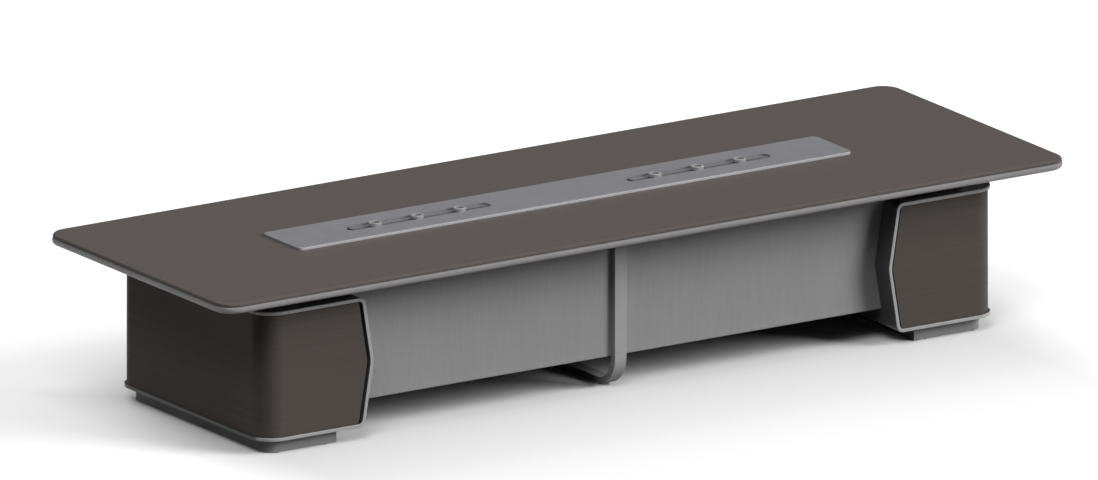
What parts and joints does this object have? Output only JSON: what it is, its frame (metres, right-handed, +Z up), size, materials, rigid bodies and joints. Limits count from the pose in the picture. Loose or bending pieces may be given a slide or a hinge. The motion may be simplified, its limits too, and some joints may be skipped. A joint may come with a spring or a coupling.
{
  "type": "conference table",
  "caption": "Long conference table with a grey-brown veneered top and pedestals, grey edge bands and modesty panels, a U-shaped centre leg and recessed power tracks.",
  "frame": {"origin": "on the floor, under the middle of the top", "axes": "+X along the table, -Y towards the long side that faces the viewer, +Z up"},
  "size_m": [4.4, 1.455, 0.786],
  "materials": {
    "top_veneer": "satin grey-brown veneer, fine straight grain along the table",
    "pedestal_veneer": "satin grey-brown veneer, fine horizontal grain",
    "edge_lacquer": "satin grey lacquer on a shaped board edge",
    "band_lacquer": "satin grey lacquer on a bent board",
    "plinth_lacquer": "matt dark grey lacquer",
    "carcass_board": "black board",
    "panel_laminate": "grey laminate with a fine upright grain",
    "plate_lacquer": "satin grey lacquer on a raised board",
    "track_metal": "satin anodised extrusion",
    "insulator": "black moulded plastic",
    "conductor": "bare strip",
    "adapter_shell": "pale satin moulded plastic",
    "leg_metal": "satin grey paint",
    "frame_steel": "black powder coat",
    "fastener": "zinc plated",
    "glide": "black pad"
  },
  "bodies": {
    "table": {"top_panel": "top_veneer", "top_edge_trim": "edge_lacquer", "centre_plate": "plate_lacquer", "track_rail_left": "track_metal", "track_rail_right": "track_metal", "track_liner_left": "insulator", "track_liner_right": "insulator", "track_busbars_left": "conductor", "track_busbars_right": "conductor", "track_end_caps": "insulator", "track_screws": "fastener", "cap_screws": "fastener", "cable_tray_left": "frame_steel", "cable_tray_right": "frame_steel", "tray_screws": "fastener", "beam_front": "frame_steel", "beam_back": "frame_steel", "cross_rails": "frame_steel", "beam_screws": "fastener", "riser_left": "frame_steel", "riser_right": "frame_steel", "pedestal_band_left": "band_lacquer", "pedestal_band_right": "band_lacquer", "pedestal_wrap_left": "pedestal_veneer", "pedestal_wrap_right": "pedestal_veneer", "pedestal_ribs_left": "carcass_board", "pedestal_ribs_right": "carcass_board", "plinth_left": "plinth_lacquer", "plinth_right": "plinth_lacquer", "centre_leg": "leg_metal", "leg_cleats": "frame_steel", "floor_glides": "glide", "modesty_front_left": "panel_laminate", "modesty_front_right": "panel_laminate", "modesty_back_left": "panel_laminate", "modesty_back_right": "panel_laminate", "panel_brackets": "frame_steel", "bracket_screws": "fastener"},
    "adapter_1_carriage": {"adapter_base_1": "insulator"},
    "adapter_1_head": {"adapter_head_1": "adapter_shell", "adapter_face_1": "insulator"},
    "adapter_2_carriage": {"adapter_base_2": "insulator"},
    "adapter_2_head": {"adapter_head_2": "adapter_shell", "adapter_face_2": "insulator"},
    "adapter_3_carriage": {"adapter_base_3": "insulator"},
    "adapter_3_head": {"adapter_head_3": "adapter_shell", "adapter_face_3": "insulator"},
    "adapter_4_carriage": {"adapter_base_4": "insulator"},
    "adapter_4_head": {"adapter_head_4": "adapter_shell", "adapter_face_4": "insulator"},
    "adapter_5_carriage": {"adapter_base_5": "insulator"},
    "adapter_5_head": {"adapter_head_5": "adapter_shell", "adapter_face_5": "insulator"},
    "adapter_6_carriage": {"adapter_base_6": "insulator"},
    "adapter_6_head": {"adapter_head_6": "adapter_shell", "adapter_face_6": "insulator"}
  },
  "joints": [
    {"name": "adapter_1_slide", "type": "slide", "parent": "table", "child": "adapter_1_carriage", "axis": [1, 0, 0], "range_m": [-0.075, 0.075]},
    {"name": "adapter_1_turn", "type": "hinge", "parent": "adapter_1_carriage", "child": "adapter_1_head", "pos_m": [-0.948, 0, 0.7714], "axis": [0, 0, 1], "range_deg": [0, 90]},
    {"name": "adapter_2_slide", "type": "slide", "parent": "table", "child": "adapter_2_carriage", "axis": [1, 0, 0], "range_m": [-0.075, 0.075]},
    {"name": "adapter_2_turn", "type": "hinge", "parent": "adapter_2_carriage", "child": "adapter_2_head", "pos_m": [-0.728, 0, 0.7714], "axis": [0, 0, 1], "range_deg": [0, 90]},
    {"name": "adapter_3_slide", "type": "slide", "parent": "table", "child": "adapter_3_carriage", "axis": [1, 0, 0], "range_m": [-0.075, 0.075]},
    {"name": "adapter_3_turn", "type": "hinge", "parent": "adapter_3_carriage", "child": "adapter_3_head", "pos_m": [-0.508, 0, 0.7714], "axis": [0, 0, 1], "range_deg": [0, 90]},
    {"name": "adapter_4_slide", "type": "slide", "parent": "table", "child": "adapter_4_carriage", "axis": [1, 0, 0], "range_m": [-0.075, 0.075]},
    {"name": "adapter_4_turn", "type": "hinge", "parent": "adapter_4_carriage", "child": "adapter_4_head", "pos_m": [0.508, 0, 0.7714], "axis": [0, 0, 1], "range_deg": [0, 90]},
    {"name": "adapter_5_slide", "type": "slide", "parent": "table", "child": "adapter_5_carriage", "axis": [1, 0, 0], "range_m": [-0.075, 0.075]},
    {"name": "adapter_5_turn", "type": "hinge", "parent": "adapter_5_carriage", "child": "adapter_5_head", "pos_m": [0.728, 0, 0.7714], "axis": [0, 0, 1], "range_deg": [0, 90]},
    {"name": "adapter_6_slide", "type": "slide", "parent": "table", "child": "adapter_6_carriage", "axis": [1, 0, 0], "range_m": [-0.075, 0.075]},
    {"name": "adapter_6_turn", "type": "hinge", "parent": "adapter_6_carriage", "child": "adapter_6_head", "pos_m": [0.948, 0, 0.7714], "axis": [0, 0, 1], "range_deg": [0, 90]}
  ]
}
